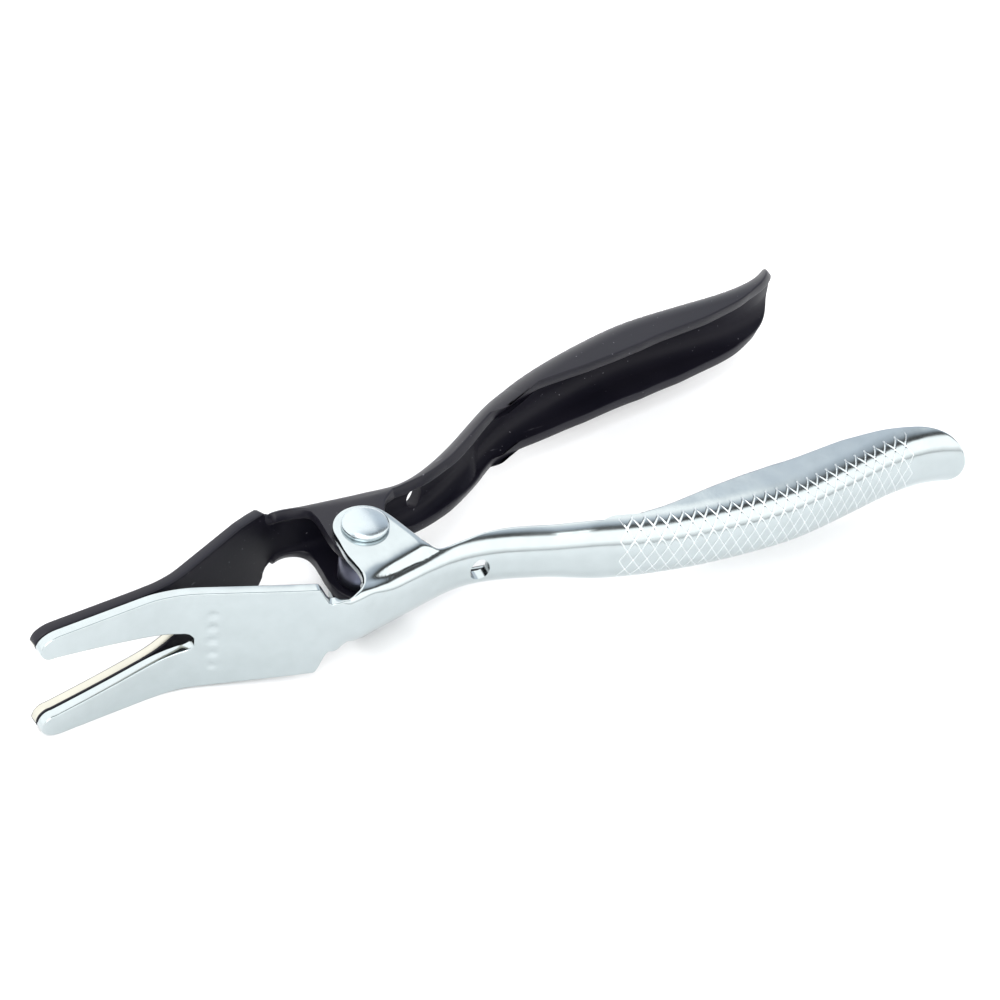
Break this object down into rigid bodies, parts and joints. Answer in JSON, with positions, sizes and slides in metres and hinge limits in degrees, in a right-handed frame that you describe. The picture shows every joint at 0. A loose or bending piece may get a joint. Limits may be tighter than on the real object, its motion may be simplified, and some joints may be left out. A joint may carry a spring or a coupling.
{
  "type": "hose removal pliers",
  "caption": "Spreading pliers pressed from sheet steel, with slotted jaw plates that push a hose off its pipe stub when the handles are squeezed.",
  "frame": {"origin": "middle of the closed tool's bounding box, on its plane of symmetry", "axes": "+X from the jaws to the handles, +Y from the bright half to the black half, +Z along the pivot rivet"},
  "size_m": [0.2072, 0.0752, 0.0264],
  "materials": {
    "bright_plated_steel": "bright zinc-plated pressed steel, softly glossy",
    "black_finish": "satin black finish on pressed steel",
    "rivet_steel": "plated, formed head, softly glossy",
    "bush_steel": "turned, plain"
  },
  "bodies": {
    "bright_side": {"chrome_half": "bright_plated_steel", "pivot_rivet": "rivet_steel", "spacer_bush": "bush_steel"},
    "black_side": {"black_half": "black_finish"}
  },
  "joints": [
    {"name": "pivot", "type": "hinge", "parent": "bright_side", "child": "black_side", "pos_m": [-0.02901, 0, 0], "axis": [0, 0, 1], "range_deg": [-23, 0]}
  ]
}
